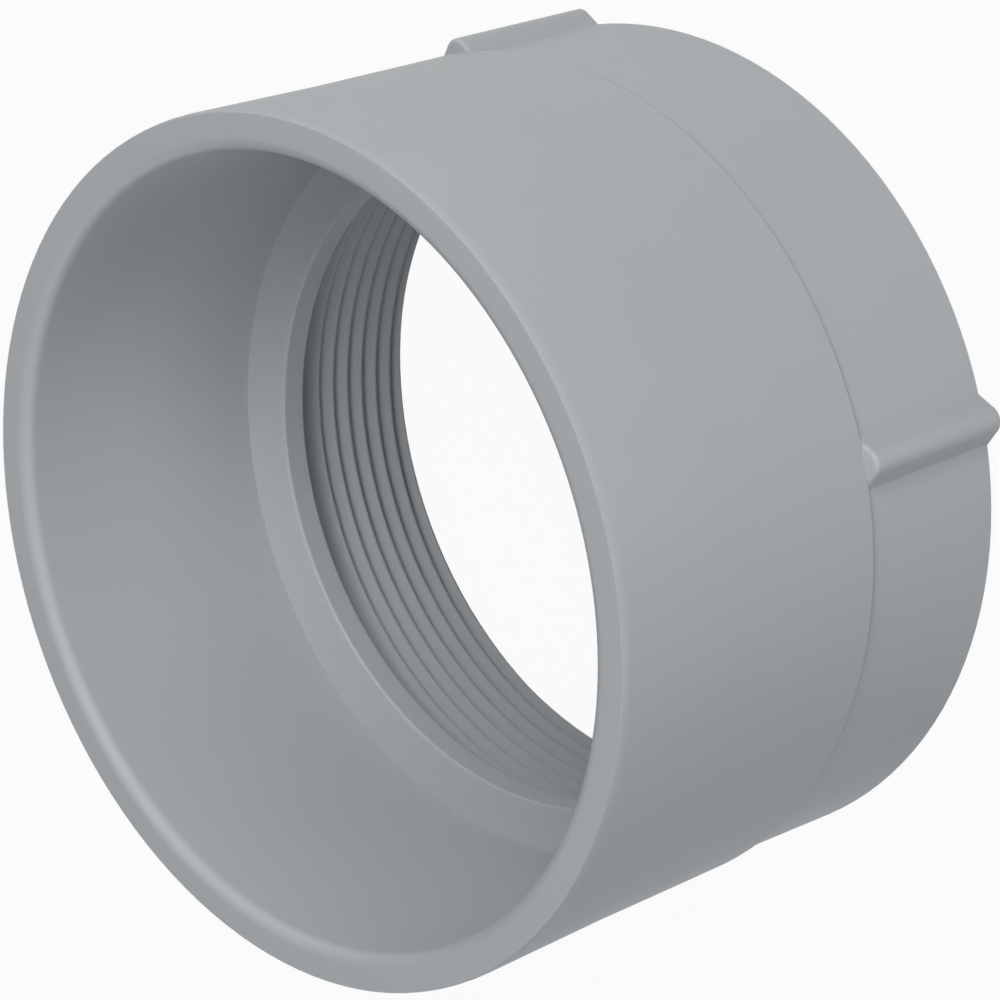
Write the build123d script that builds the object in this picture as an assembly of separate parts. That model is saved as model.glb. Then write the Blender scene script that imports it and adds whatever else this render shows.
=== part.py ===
from build123d import *
import os
from math import cos, hypot, radians, sin, tan

# Female conduit adapter in moulded grey PVC, trade size 4 inch.
# One piece: a smooth solvent-weld socket at the top, a throat with a stop shoulder in the middle
# and an internal pipe thread in a ribbed collar at the bottom.
# Millimetres. Z is the bore axis. The threaded end stands on Z = 0 and the socket mouth is at the top.

# Overall form
overall_length = 77.9
barrel_wall = 6.3
barrel_base_wall = 6.7
barrel_parallel_length = 24.0
rim_round_length = 1.6
rim_round_depth = 0.25

# Socket for the conduit
socket_depth = 44.3
conduit_dia = 114.3
conduit_clearance = 0.1
entry_clearance = 0.75
socket_seat_length = 20.0
lead_in_radius = 2.0
lead_in_cones = 3

# Throat, the ring that the conduit stops against, with a shoulder that falls a little inwards
shoulder_fall = 1.3
throat_dia = 100.6
throat_length = 4.1
throat_edge_chamfer = 0.3

# Internal pipe thread, 8 turns to the inch, right-handed
thread_pitch = 25.4 / 8
thread_crest_dia = 109.6
thread_ridge_height = 2.2
thread_crest_flat = 0.4
thread_flank_angle = 30.0
thread_top_below_throat = 7.0
thread_end_angle = 143.0
thread_run_in_radius = 12.0
thread_run_in_sink = 0.3
thread_root_sink = 0.1
thread_base_sink = 0.6
thread_trim_turn = 37.0

# Collar round the thread, with its grip ribs
collar_length = 27.2
collar_top_wall = 6.1
collar_end_wall = 7.0
collar_edge_chamfer = 0.4
rib_count = 4
rib_height = 2.6
rib_crest_round = 2.3
rib_flank_angle = 41.0
rib_lean = 0.5
rib_depth = 6.5
rib_edge_radius = 0.7

# Heights and radii that follow from the sizes above
seat_radius = conduit_dia / 2 + conduit_clearance
entry_radius = conduit_dia / 2 + entry_clearance
barrel_radius = seat_radius + barrel_wall
barrel_base_radius = seat_radius + barrel_base_wall
shoulder_z = overall_length - socket_depth
throat_top_z = shoulder_z - shoulder_fall
throat_bottom_z = throat_top_z - throat_length
crest_radius = thread_crest_dia / 2
root_radius = crest_radius + thread_ridge_height
thread_top_z = throat_bottom_z - thread_top_below_throat
collar_top_radius = root_radius + collar_top_wall
collar_end_radius = root_radius + collar_end_wall
rib_crest_radius = collar_end_radius + rib_height
rib_base_radius = rib_crest_radius - rib_depth


def corner(face, radius, height):
    """The corners of a half section at one radius and height."""
    return [v for v in face.vertices() if abs(v.X - radius) < 1e-6 and abs(v.Z - height) < 1e-6]


def lead_in():
    """The points of the socket's rounded mouth, from the end face to the wall, as short cones."""
    turns = [radians(90) * n / lead_in_cones for n in range(lead_in_cones + 1)]
    centre = entry_radius + lead_in_radius
    start = overall_length - lead_in_radius
    return [(centre - lead_in_radius * sin(t), start + lead_in_radius * cos(t)) for t in turns]


def moulded_shell():
    """The turned form of the whole adapter, with a plain wall where the thread goes."""
    rim_corner = (barrel_radius - rim_round_depth, overall_length)
    rim_round_start = (barrel_radius, overall_length - rim_round_length)
    outline = [
        rim_corner,
        *lead_in(),
        (seat_radius, shoulder_z + socket_seat_length),
        (seat_radius, shoulder_z),
        (throat_dia / 2, throat_top_z),
        (throat_dia / 2, throat_bottom_z),
        (root_radius, throat_bottom_z),
        (root_radius, 0),
        (collar_end_radius, 0),
        (collar_top_radius, collar_length),
        (barrel_base_radius, collar_length),
        (barrel_radius, overall_length - barrel_parallel_length),
        rim_round_start,
    ]
    edge = Polyline(*outline) + TangentArc(rim_round_start, rim_corner, tangent=(0, 1))
    half = make_face(Plane.XZ * edge)
    half = chamfer(corner(half, throat_dia / 2, throat_top_z), throat_edge_chamfer)
    half = chamfer(corner(half, collar_end_radius, 0), collar_edge_chamfer)
    return revolve(half, Axis.Z)


def grip_rib():
    """One rib along the collar, round at its crest and top end and leaning in towards the top."""
    flank = radians(rib_flank_angle)
    peak_radius = rib_crest_radius + rib_crest_round * (1 / sin(flank) - 1)
    half_base = (peak_radius - rib_base_radius) * tan(flank)
    corners = [(rib_base_radius, -half_base), (peak_radius, 0), (rib_base_radius, half_base)]
    section = make_face(Polyline(*corners, close=True))
    section = fillet(corner(section, peak_radius, 0), rib_crest_round)
    length = hypot(collar_length, rib_lean)
    rib = extrude(section, length, dir=(-rib_lean, 0, collar_length))
    return fillet(rib.faces().sort_by(Axis.Z)[-1].edges(), rib_edge_radius)


def thread_ridge():
    """The helical ridge of the thread, sunk a little into the wall and faded out at its upper end."""
    turns = thread_top_z / thread_pitch + 1
    path = Helix(thread_pitch, turns * thread_pitch, root_radius, center=(0, 0, -thread_pitch))
    slope = tan(radians(thread_flank_angle))

    def half_width(radius):
        return thread_crest_flat / 2 + (radius - crest_radius) * slope

    sharp_radius = crest_radius - thread_crest_flat / 2 / slope
    flank_end = root_radius + thread_root_sink
    base = root_radius + thread_base_sink
    profile = [
        (base, -half_width(flank_end)),
        (flank_end, -half_width(flank_end)),
        (sharp_radius, 0),
        (flank_end, half_width(flank_end)),
        (base, half_width(flank_end)),
    ]
    section = Pos(0, 0, -thread_pitch) * make_face(Plane.XZ * Polyline(*profile, close=True))
    ridge = sweep(section, path, is_frenet=True)
    ridge = Rot(0, 0, thread_end_angle - 360 * turns) * ridge

    run_in = Cylinder(thread_run_in_radius, thread_pitch)
    reach = root_radius + thread_run_in_sink - thread_run_in_radius
    run_in = Rot(0, 0, thread_end_angle) * Pos(reach, 0, thread_top_z) * run_in
    return ridge - run_in


def thread_trim():
    """What the ridge loses: the space inside its crest, the 45 degree mouth and all below the end.

    It is turned so that its seam doesn't meet the end of the ridge.
    """
    mouth = root_radius + thread_root_sink
    overrun = 2 * thread_pitch
    outline = [
        (0, -overrun),
        (root_radius + overrun, -overrun),
        (root_radius + overrun, 0),
        (mouth, 0),
        (crest_radius, mouth - crest_radius),
        (crest_radius, thread_top_z + overrun),
        (0, thread_top_z + overrun),
    ]
    tool = revolve(make_face(Plane.XZ * Polyline(*outline, close=True)), Axis.Z)
    return Rot(0, 0, thread_trim_turn) * tool


def female_adapter():
    """The whole adapter: the shell, its ribs and its thread as one solid."""
    body = moulded_shell()
    for n in range(rib_count):
        body += Rot(0, 0, n * 360 / rib_count) * grip_rib()
    return body + (thread_ridge() - thread_trim())


os.makedirs("parts", exist_ok=True)
adapter = female_adapter()
export_step(adapter, "parts/female_adapter.step")
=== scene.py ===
import logging
import math
from dataclasses import dataclass
from enum import Enum

import bmesh
import bpy
from mathutils import Euler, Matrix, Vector


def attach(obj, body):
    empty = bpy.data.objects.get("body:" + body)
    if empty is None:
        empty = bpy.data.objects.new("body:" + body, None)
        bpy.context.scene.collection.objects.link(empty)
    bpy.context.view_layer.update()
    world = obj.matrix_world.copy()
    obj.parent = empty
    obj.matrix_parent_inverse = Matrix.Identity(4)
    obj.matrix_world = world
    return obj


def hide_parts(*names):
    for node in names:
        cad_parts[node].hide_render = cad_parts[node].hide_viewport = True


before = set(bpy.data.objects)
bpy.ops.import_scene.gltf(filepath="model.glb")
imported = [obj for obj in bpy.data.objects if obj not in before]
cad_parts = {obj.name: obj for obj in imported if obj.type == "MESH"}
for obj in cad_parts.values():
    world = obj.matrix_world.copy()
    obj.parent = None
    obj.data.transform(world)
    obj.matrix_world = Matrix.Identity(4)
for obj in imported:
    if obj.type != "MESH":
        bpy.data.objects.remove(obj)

# Lengths are in metres and angles in radians, unless a name says otherwise.

log = logging.getLogger("female_adapter")

Colour = tuple[float, float, float]
Point = tuple[float, float, float]
Ring = list[bmesh.types.BMVert]
Socket = bpy.types.NodeSocket

QUARTER_TURN = math.radians(90)


class SocketKind(Enum):
    """The kinds of socket on the node groups here."""

    COLOUR = "NodeSocketColor"
    NUMBER = "NodeSocketFloat"
    VECTOR = "NodeSocketVector"


@dataclass(frozen=True)
class MixSockets:
    """Where a mix node keeps its sockets for one kind of value."""

    data_type: str
    first: int
    second: int
    result: int


MIX_SOCKETS = {
    SocketKind.NUMBER: MixSockets("FLOAT", first=2, second=3, result=0),
    SocketKind.COLOUR: MixSockets("RGBA", first=6, second=7, result=2),
}


@dataclass
class NodeGraph:
    """A node tree with short calls to add, set and join nodes."""

    tree: bpy.types.NodeTree

    def add(self, kind: str, **settings: object) -> bpy.types.Node:
        """Adds a node.

        Args:
            kind: The node's type.
            **settings: Properties of the node, such as its operation.

        Returns:
            The new node.
        """
        node = self.tree.nodes.new(kind)
        for name, value in settings.items():
            setattr(node, name, value)
        return node

    def join(self, source: Socket, target: Socket) -> None:
        """Joins an output to an input."""
        self.tree.links.new(source, target)

    def feed(self, value: Socket | float, target: Socket) -> None:
        """Gives an input its value.

        Args:
            value: Another node's output, or a fixed number.
            target: The input.
        """
        if isinstance(value, Socket):
            self.join(value, target)
        else:
            target.default_value = value

    def place_input(self) -> Socket:
        """Gives a node group an input for the place on the part, and finds it inside the group."""
        self.tree.interface.new_socket("Place", in_out="INPUT", socket_type=SocketKind.VECTOR.value)
        return self.add("NodeGroupInput").outputs["Place"]

    def calculate(
        self, operation: str, first: Socket | float, second: Socket | float, clamp: bool = False
    ) -> Socket:
        """Adds a calculation with two numbers.

        Args:
            operation: The Math node's operation.
            first: The first number.
            second: The second number.
            clamp: Whether the result is kept from 0 to 1.

        Returns:
            The result.
        """
        node = self.add("ShaderNodeMath", operation=operation, use_clamp=clamp)
        self.feed(first, node.inputs[0])
        self.feed(second, node.inputs[1])
        return node.outputs["Value"]

    def noise(self, place: Socket, scale: Socket | float, detail: Socket | float) -> Socket:
        """Adds a noise texture.

        Args:
            place: The coordinates that it follows.
            scale: Its cells to the metre.
            detail: Its number of finer layers.

        Returns:
            Its value, from 0 to 1.
        """
        noise = self.add("ShaderNodeTexNoise")
        self.feed(scale, noise.inputs["Scale"])
        self.feed(detail, noise.inputs["Detail"])
        self.join(place, noise.inputs["Vector"])
        return noise.outputs["Fac"]

    def spread(self, value: Socket, low: Socket | float, high: Socket | float) -> Socket:
        """Spreads a value from 0 to 1 over a new range.

        Args:
            value: The value.
            low: What 0 becomes.
            high: What 1 becomes.

        Returns:
            The value in its new range.
        """
        spread = self.add("ShaderNodeMapRange")
        self.feed(low, spread.inputs["To Min"])
        self.feed(high, spread.inputs["To Max"])
        self.join(value, spread.inputs["Value"])
        return spread.outputs["Result"]

    def mix(self, kind: SocketKind) -> tuple[Socket, Socket, Socket, Socket]:
        """Adds a mix of two colours or numbers.

        Args:
            kind: What is mixed.

        Returns:
            The node's share, its first and second input, and its result.
        """
        sockets = MIX_SOCKETS[kind]
        mix = self.add("ShaderNodeMix", data_type=sockets.data_type)
        first, second = mix.inputs[sockets.first], mix.inputs[sockets.second]
        return mix.inputs[0], first, second, mix.outputs[sockets.result]


def new_group(
    name: str, numbers: dict[str, float], outputs: dict[str, SocketKind]
) -> tuple[NodeGraph, bpy.types.Node, bpy.types.Node]:
    """Starts a node group.

    Args:
        name: The group's name.
        numbers: Its inputs for numbers, with the values that they have unless a material sets others.
        outputs: Its outputs and their kinds.

    Returns:
        Its graph, its input node and its output node.
    """
    tree = bpy.data.node_groups.new(name, "ShaderNodeTree")
    for label, number in numbers.items():
        socket = tree.interface.new_socket(label, in_out="INPUT", socket_type=SocketKind.NUMBER.value)
        socket.default_value = number
    for label, kind in outputs.items():
        tree.interface.new_socket(label, in_out="OUTPUT", socket_type=kind.value)
    graph = NodeGraph(tree)
    return graph, graph.add("NodeGroupInput"), graph.add("NodeGroupOutput")


def new_material(name: str) -> tuple[bpy.types.Material, NodeGraph, bpy.types.Node]:
    """Starts a material.

    Args:
        name: The material's name.

    Returns:
        The material, its graph and its Principled BSDF.
    """
    material = bpy.data.materials.new(name)
    material.use_nodes = True
    return material, NodeGraph(material.node_tree), material.node_tree.nodes["Principled BSDF"]


def opaque(colour: Colour) -> tuple[float, float, float, float]:
    """Adds full opacity to a colour."""
    return (*colour, 1.0)


def put_in_scene(name: str, data: bpy.types.ID) -> bpy.types.Object:
    """Puts new data in the scene.

    Args:
        name: The new object's name.
        data: Its mesh, lamp or camera.

    Returns:
        The object.
    """
    thing = bpy.data.objects.new(name, data)
    bpy.context.scene.collection.objects.link(thing)
    return thing


@dataclass(frozen=True)
class FlowMarks:
    """Broad, faint clouds that the melt leaves on a moulded surface."""

    cells: float = 38.0
    layers: float = 3.0
    stretch: float = 0.45
    darkest: float = 0.975
    lightest: float = 1.025
    smoothest: float = -0.03
    roughest: float = 0.03

    def build(self) -> bpy.types.NodeTree:
        """Makes the node group.

        Returns:
            The group, with a shade to multiply and a roughness to add.
        """
        numbers = {
            "Cells": self.cells,
            "Layers": self.layers,
            "Darkest": self.darkest,
            "Lightest": self.lightest,
            "Smoothest": self.smoothest,
            "Roughest": self.roughest,
        }
        outputs = {"Shade": SocketKind.NUMBER, "Roughness": SocketKind.NUMBER}
        graph, given, out = new_group("flow_marks", numbers, outputs)
        along = graph.add("ShaderNodeMapping")
        along.inputs["Scale"].default_value = (1.0, 1.0, self.stretch)
        graph.join(graph.place_input(), along.inputs["Vector"])
        cloud = graph.noise(along.outputs["Vector"], given.outputs["Cells"], given.outputs["Layers"])
        shade = graph.spread(cloud, given.outputs["Darkest"], given.outputs["Lightest"])
        gloss = graph.spread(cloud, given.outputs["Roughest"], given.outputs["Smoothest"])
        graph.join(shade, out.inputs["Shade"])
        graph.join(gloss, out.inputs["Roughness"])
        return graph.tree


@dataclass(frozen=True)
class MouldGrain:
    """The fine grain that a satin mould gives, over a very slight waviness."""

    grain_cells: float = 2600.0
    grain_layers: float = 2.0
    wave_cells: float = 130.0
    wave_layers: float = 1.0
    grain_share: float = 0.35

    def build(self) -> bpy.types.NodeTree:
        """Makes the node group.

        Returns:
            The group, with a height from 0 to 1.
        """
        numbers = {
            "Grain Cells": self.grain_cells,
            "Grain Layers": self.grain_layers,
            "Wave Cells": self.wave_cells,
            "Wave Layers": self.wave_layers,
            "Grain Share": self.grain_share,
        }
        graph, given, out = new_group("mould_grain", numbers, {"Height": SocketKind.NUMBER})
        place = graph.place_input()
        share, wave, grain, height = graph.mix(SocketKind.NUMBER)
        graph.join(given.outputs["Grain Share"], share)
        for kind, target in (("Wave", wave), ("Grain", grain)):
            cells, layers = given.outputs[f"{kind} Cells"], given.outputs[f"{kind} Layers"]
            graph.join(graph.noise(place, cells, layers), target)
        graph.join(height, out.inputs["Height"])
        return graph.tree


@dataclass(frozen=True)
class SoftEdges:
    """The small radius that every moulded edge has, as a normal, and a mask of where it lies."""

    radius: float = 0.0002
    samples: int = 6
    reach: float = 6.0

    def build(self) -> bpy.types.NodeTree:
        """Makes the node group.

        Returns:
            The group, with the softened normal and the edges' mask.
        """
        outputs = {"Normal": SocketKind.VECTOR, "Mask": SocketKind.NUMBER}
        graph, given, out = new_group("soft_edges", {"Radius": self.radius, "Reach": self.reach}, outputs)
        bevel = graph.add("ShaderNodeBevel", samples=self.samples)
        graph.join(given.outputs["Radius"], bevel.inputs["Radius"])
        surface = graph.add("ShaderNodeNewGeometry")
        cosine = graph.add("ShaderNodeVectorMath", operation="DOT_PRODUCT")
        graph.join(bevel.outputs["Normal"], cosine.inputs[0])
        graph.join(surface.outputs["Normal"], cosine.inputs[1])
        turned = graph.calculate("SUBTRACT", 1.0, cosine.outputs["Value"])
        mask = graph.calculate("MULTIPLY", turned, given.outputs["Reach"], clamp=True)
        graph.join(bevel.outputs["Normal"], out.inputs["Normal"])
        graph.join(mask, out.inputs["Mask"])
        return graph.tree


@dataclass(frozen=True)
class MouldedPlastic:
    """Rigid grey plastic as it leaves the mould: satin, with faint flow marks, soft edges and a painted
    highlight along them.
    """

    name: str = "moulded_grey"
    colour: Colour = (0.385, 0.402, 0.412)
    edge_highlight_colour: Colour = (0.43, 0.447, 0.457)
    edge_highlight_share: float = 0.25
    roughness: float = 0.58
    grain_height: float = 0.000012
    flow: FlowMarks = FlowMarks()
    grain: MouldGrain = MouldGrain()
    edges: SoftEdges = SoftEdges()

    def build(self) -> bpy.types.Material:
        """Makes the material.

        Returns:
            The finished material.
        """
        material, graph, shader = new_material(self.name)
        flow, grain, edges = (
            graph.add("ShaderNodeGroup", node_tree=effect.build())
            for effect in (self.flow, self.grain, self.edges)
        )
        place = graph.add("ShaderNodeTexCoord").outputs["Object"]
        graph.join(place, flow.inputs["Place"])
        graph.join(place, grain.inputs["Place"])

        # Painted highlight: a lighter colour is mixed in along every edge, where the edges' mask lies.
        edge_part, plain, painted_highlight, colour = graph.mix(SocketKind.COLOUR)
        plain.default_value = opaque(self.colour)
        painted_highlight.default_value = opaque(self.edge_highlight_colour)
        graph.join(graph.calculate("MULTIPLY", edges.outputs["Mask"], self.edge_highlight_share), edge_part)
        shaded = graph.add("ShaderNodeVectorMath", operation="SCALE")
        graph.join(colour, shaded.inputs["Vector"])
        graph.join(flow.outputs["Shade"], shaded.inputs["Scale"])
        graph.join(shaded.outputs["Vector"], shader.inputs["Base Color"])

        rough = graph.calculate("ADD", flow.outputs["Roughness"], self.roughness)
        graph.join(rough, shader.inputs["Roughness"])

        bump = graph.add("ShaderNodeBump")
        bump.inputs["Distance"].default_value = self.grain_height
        graph.join(grain.outputs["Height"], bump.inputs["Height"])
        graph.join(edges.outputs["Normal"], bump.inputs["Normal"])
        graph.join(bump.outputs["Normal"], shader.inputs["Normal"])
        return material


def turn_of(vertex: bmesh.types.BMVert) -> float:
    """Gives a vertex's angle round the bore axis, from half a turn back to half a turn on."""
    return math.atan2(vertex.co.y, vertex.co.x)


def next_turn(ring: Ring, at: int) -> float:
    """Gives the turn of the vertex that follows in a ring.

    Args:
        ring: The ring's vertices, sorted by their turn.
        at: How many of its edges are used.

    Returns:
        The turn, past a full one where the ring closes, or infinity when all of it is used.
    """
    if at >= len(ring):
        return math.inf
    return turn_of(ring[at + 1]) if at + 1 < len(ring) else turn_of(ring[0]) + math.tau


def join_rings(mesh: bmesh.types.BMesh, first: Ring, second: Ring) -> None:
    """Joins two rings round the bore with triangles.

    Args:
        mesh: The mesh that they are in.
        first: The vertices of one ring, sorted by their turn.
        second: Those of the other, which may be more or fewer.
    """
    rings = (first, second)
    done = [0, 0]
    for _ in range(len(first) + len(second)):
        side = 0 if next_turn(first, done[0]) <= next_turn(second, done[1]) else 1
        corner_a, corner_b = (ring[at % len(ring)] for ring, at in zip(rings, done))
        done[side] += 1
        mesh.faces.new((corner_a, corner_b, rings[side][done[side] % len(rings[side])]))


@dataclass(frozen=True)
class RoundedMouth:
    """The socket's rounded mouth, a quarter round that the CAD gives as three short cones."""

    round_radius: float = 0.002
    entry_radius: float = 0.0579
    mouth_height: float = 0.0779
    rings: int = 9
    ring_corners: int = 180
    tolerance: float = 0.000002
    end_band: float = math.radians(1)

    def angle_at(self, vertex: bmesh.types.BMVert) -> float | None:
        """Finds where a vertex lies along the quarter round.

        Args:
            vertex: The vertex.

        Returns:
            Its angle, from 0 at the wall to a quarter turn at the end face, or None if it lies off it.
        """
        inward = self.entry_radius + self.round_radius - math.hypot(vertex.co.x, vertex.co.y)
        up = vertex.co.z - (self.mouth_height - self.round_radius)
        off = abs(math.hypot(inward, up) - self.round_radius) > self.tolerance
        if off or inward < -self.tolerance or up < -self.tolerance:
            return None
        return math.atan2(up, inward)

    def ring(self, mesh: bmesh.types.BMesh, angle: float) -> Ring:
        """Adds one ring of vertices on the quarter round.

        Args:
            mesh: The mesh to add them to.
            angle: How far round it they lie.

        Returns:
            The vertices, sorted by their turn.
        """
        radius = self.entry_radius + self.round_radius * (1 - math.cos(angle))
        height = self.mouth_height - self.round_radius * (1 - math.sin(angle))
        turns = [math.tau * (n / self.ring_corners - 0.5) for n in range(self.ring_corners)]
        return [mesh.verts.new((radius * math.cos(t), radius * math.sin(t), height)) for t in turns]

    def carve(self, mesh: bmesh.types.BMesh) -> None:
        """Puts a fine quarter round in the place of the cones.

        Args:
            mesh: The adapter's merged mesh.
        """
        angles = {v: self.angle_at(v) for v in mesh.verts}
        on_round = {v for v, angle in angles.items() if angle is not None}
        cones = [f for f in mesh.faces if on_round.issuperset(f.verts)]
        last = QUARTER_TURN - self.end_band
        wall = sorted((v for v in on_round if angles[v] < self.end_band), key=turn_of)
        end_face = sorted((v for v in on_round if angles[v] > last), key=turn_of)
        inner = on_round.difference(wall, end_face)
        bmesh.ops.delete(mesh, geom=cones, context="FACES_ONLY")
        bmesh.ops.delete(mesh, geom=list(inner), context="VERTS")
        steps = [QUARTER_TURN * (n + 1) / (self.rings + 1) for n in range(self.rings)]
        rings = [wall, *[self.ring(mesh, step) for step in steps], end_face]
        for lower, upper in zip(rings, rings[1:]):
            join_rings(mesh, lower, upper)


@dataclass(frozen=True)
class ThreadTail:
    """The last stretch of the thread's upper end, which fades into the wall behind the throat.

    It starts inside the CAD's ridge, grows a hair's breadth past it before that ends, and carries the
    same section on.
    """

    pitch: float = 0.003175
    crest_radius: float = 0.0548
    root_radius: float = 0.057
    crest_flat: float = 0.0004
    flank_angle: float = math.radians(30)
    ridge_end: float = math.radians(143)
    ridge_end_height: float = 0.0212
    start: float = math.radians(124)
    full: float = math.radians(130)
    fade: float = math.radians(166)
    end: float = math.radians(196)
    crest_spread: float = 0.6
    sections: int = 37
    skin: float = 0.00005
    sunk: float = 0.0006

    def section(self, turn: float) -> list[Point]:
        """Gives the ridge's section at one turn.

        Args:
            turn: The angle round the bore.

        Returns:
            Its corners: two in the wall and two at the crest.
        """
        grown = self.skin * max(-1.0, min(1.0, 2 * (turn - self.start) / (self.full - self.start) - 1))
        faded = max(0.0, (turn - self.fade) / (self.end - self.fade))
        crest = self.crest_radius - grown + faded**2 * (self.root_radius - self.crest_radius + self.skin)
        base = self.root_radius + self.sunk
        slope = math.tan(self.flank_angle)
        middle = self.ridge_end_height + self.pitch * (turn - self.ridge_end) / math.tau
        half = self.crest_flat / 2 + grown
        wide = half + (base - self.crest_radius) * slope
        flat = half + (crest - self.crest_radius + grown) * slope * self.crest_spread
        corners = ((base, -wide), (crest, -flat), (crest, flat), (base, wide))
        return [(r * math.cos(turn), r * math.sin(turn), middle + z) for r, z in corners]

    def build(self) -> bpy.types.Object:
        """Makes the tail as a closed piece that reaches into the wall.

        Returns:
            The tail.
        """
        step = (self.end - self.start) / (self.sections - 1)
        loops = [self.section(self.start + step * n) for n in range(self.sections)]
        corners = len(loops[0])
        last = corners * (self.sections - 1)
        faces = [tuple(range(corners)), tuple(range(last, last + corners))]
        for n in range(self.sections - 1):
            for side in range(corners):
                a, b = corners * n + side, corners * n + (side + 1) % corners
                faces.append((a, b, b + corners, a + corners))
        data = bpy.data.meshes.new("thread_tail")
        data.from_pydata([point for loop in loops for point in loop], [], faces)
        mesh = bmesh.new()
        mesh.from_mesh(data)
        bmesh.ops.triangulate(mesh, faces=mesh.faces)
        bmesh.ops.recalc_face_normals(mesh, faces=mesh.faces)
        mesh.to_mesh(data)
        mesh.free()
        return put_in_scene("thread_tail", data)


@dataclass
class AdapterBody:
    """The moulded adapter: the CAD's form with a truly round mouth and its thread run out."""

    node_name: str = "female_adapter"
    slot_name: str = "moulded_grey"
    piece_name: str = "adapter_moulding"
    merge_distance: float = 0.000001
    sharp_above: float = math.radians(28)
    mouth: RoundedMouth = RoundedMouth()
    tail: ThreadTail = ThreadTail()
    finish: MouldedPlastic = MouldedPlastic()

    def surface(self) -> bpy.types.Mesh:
        """Makes the surface from the CAD node, merged and with its mouth rounded.

        Returns:
            The mesh, closed and facing outwards.
        """
        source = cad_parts[self.node_name].data
        triangles = [list(face.vertices) for face in source.polygons]
        data = bpy.data.meshes.new(self.piece_name)
        data.from_pydata([v.co for v in source.vertices], [], triangles)
        mesh = bmesh.new()
        mesh.from_mesh(data)
        bmesh.ops.remove_doubles(mesh, verts=mesh.verts, dist=self.merge_distance)
        self.mouth.carve(mesh)
        bmesh.ops.recalc_face_normals(mesh, faces=mesh.faces)
        open_edges = sum(not edge.is_manifold for edge in mesh.edges)
        log.info("%s: %d faces, %d open edges", self.piece_name, len(mesh.faces), open_edges)
        mesh.to_mesh(data)
        mesh.free()
        return data

    def run_out_thread(self, piece: bpy.types.Object) -> None:
        """Joins the thread's tail to the adapter.

        Args:
            piece: The adapter, selected and active.
        """
        tail = self.tail.build()
        union = piece.modifiers.new("tail", "BOOLEAN")
        union.operation = "UNION"
        union.solver = "EXACT"
        union.object = tail
        bpy.ops.object.modifier_apply(modifier=union.name)
        bpy.data.objects.remove(tail)

    def build(self) -> bpy.types.Object:
        """Makes the adapter with its finish, in the CAD node's place.

        Returns:
            The adapter.
        """
        piece = put_in_scene(self.piece_name, self.surface())
        bpy.ops.object.select_all(action="DESELECT")
        piece.select_set(True)
        bpy.context.view_layer.objects.active = piece
        self.run_out_thread(piece)
        bpy.ops.object.shade_smooth_by_angle(angle=self.sharp_above)
        piece.data.materials.append(self.finish.build())
        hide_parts(self.node_name)
        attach(piece, "root")
        return piece


@dataclass(frozen=True)
class SoftLamp:
    """A soft square lamp that faces the part's middle."""

    name: str
    direction: Point
    watts: float
    size: float = 0.7
    distance: float = 1.3
    aim: Point = (0.0, 0.0, 0.039)
    colour: Colour = (1.0, 1.0, 1.0)

    def build(self) -> bpy.types.Object:
        """Makes the lamp.

        Returns:
            The lamp.
        """
        data = bpy.data.lights.new(self.name, "AREA")
        data.size = self.size
        data.energy = self.watts
        data.color = self.colour
        lamp = put_in_scene(self.name, data)
        away = Vector(self.direction).normalized()
        lamp.location = Vector(self.aim) + away * self.distance
        lamp.rotation_euler = away.to_track_quat("Z", "Y").to_euler()
        return lamp


@dataclass(frozen=True)
class PaleFloor:
    """A matt floor that gives back as much light as a mid grey and is seen as nearly white."""

    size: float = 6.0
    shade: float = 0.3
    roughness: float = 1.0
    glow: float = 0.95

    def material(self) -> bpy.types.Material:
        """Makes the floor's material.

        Returns:
            The material, white to the camera and in reflections but for the part's shadow.
        """
        material, graph, shader = new_material("floor")
        shader.inputs["Base Color"].default_value = opaque((self.shade, self.shade, self.shade))
        shader.inputs["Roughness"].default_value = self.roughness
        ray = graph.add("ShaderNodeLightPath").outputs
        seen = ray["Is Camera Ray"]
        for kind in ("Is Glossy Ray", "Is Transmission Ray"):
            seen = graph.calculate("MAXIMUM", seen, ray[kind])
        mix = graph.add("ShaderNodeMixShader")
        graph.join(graph.calculate("MULTIPLY", seen, self.glow), mix.inputs[0])
        graph.join(shader.outputs[0], mix.inputs[1])
        graph.join(graph.add("ShaderNodeEmission").outputs[0], mix.inputs[2])
        graph.join(mix.outputs[0], graph.tree.nodes["Material Output"].inputs["Surface"])
        return material

    def build(self) -> bpy.types.Object:
        """Makes the floor.

        Returns:
            The floor.
        """
        bpy.ops.object.select_all(action="DESELECT")
        bpy.ops.mesh.primitive_plane_add(size=self.size, location=(0, 0, 0))
        floor = bpy.context.object
        floor.name = "floor"
        floor.data.materials.append(self.material())
        return floor


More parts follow.
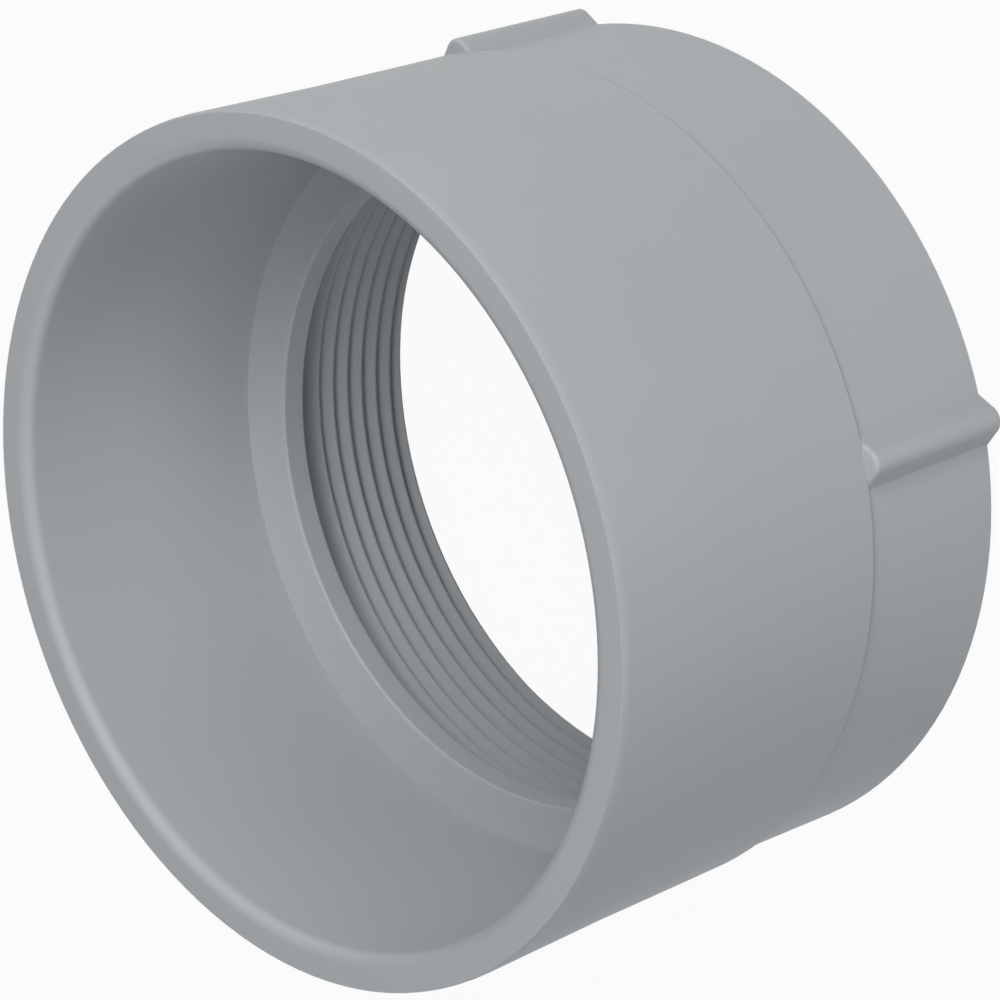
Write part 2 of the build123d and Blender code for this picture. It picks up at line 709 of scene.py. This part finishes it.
@dataclass(frozen=True)
class PhotoCamera:
    """The camera at the photograph's viewing angle."""

    place: Point = (0.07590394, -0.36925418, 0.38253147)
    turn_degrees: tuple[float, float, float] = (-19.47879, 44.10100, -105.09182)
    lens_mm: float = 124.6117
    sensor_mm: float = 36.0
    nearest: float = 0.01
    farthest: float = 20.0

    def build(self) -> bpy.types.Object:
        """Makes the camera.

        Returns:
            The camera, which is also the scene's active one.
        """
        data = bpy.data.cameras.new("camera")
        data.lens = self.lens_mm
        data.sensor_width = self.sensor_mm
        data.clip_start = self.nearest
        data.clip_end = self.farthest
        camera = put_in_scene("camera", data)
        camera.location = self.place
        camera.rotation_euler = Euler([math.radians(a) for a in self.turn_degrees])
        bpy.context.scene.camera = camera
        return camera


@dataclass(frozen=True)
class Studio:
    """The floor, the lights and the camera."""

    room_light: float = 0.04
    floor: PaleFloor = PaleFloor()
    camera: PhotoCamera = PhotoCamera()
    lamps: tuple[SoftLamp, ...] = (
        SoftLamp("side_softbox", (0.86, 0.42, 0.28), watts=5.1),
        SoftLamp("key_softbox", (0.55, -0.55, 0.62), watts=12.9),
        SoftLamp("back_softbox", (-0.74, 0.64, 0.22), watts=4.7, size=0.5),
        SoftLamp(
            "wide_softbox", (-0.37, -0.68, 0.63), watts=34.5, size=2.4, distance=2.4, colour=(0.91, 0.95, 1.0)
        ),
    )

    def light_room(self) -> None:
        """Makes the even light of the room."""
        world = bpy.data.worlds.new("room")
        bpy.context.scene.world = world
        world.use_nodes = True
        background = world.node_tree.nodes["Background"]
        background.inputs["Color"].default_value = opaque((1.0, 1.0, 1.0))
        background.inputs["Strength"].default_value = self.room_light

    def build(self) -> None:
        """Makes the room's light, the floor, the lamps and the camera."""
        bpy.context.scene.view_settings.view_transform = "Standard"
        self.light_room()
        log.info("floor: %s", self.floor.build().name)
        for lamp in self.lamps:
            log.info("lamp: %s", lamp.build().name)
        log.info("camera: %s", self.camera.build().name)


def main() -> None:
    """Builds the scene and reports each piece."""
    logging.basicConfig(level=logging.INFO, format="%(message)s")
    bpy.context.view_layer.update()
    Studio().build()
    log.info("piece: %s", AdapterBody().build().name)


if __name__ == "__main__":
    main()
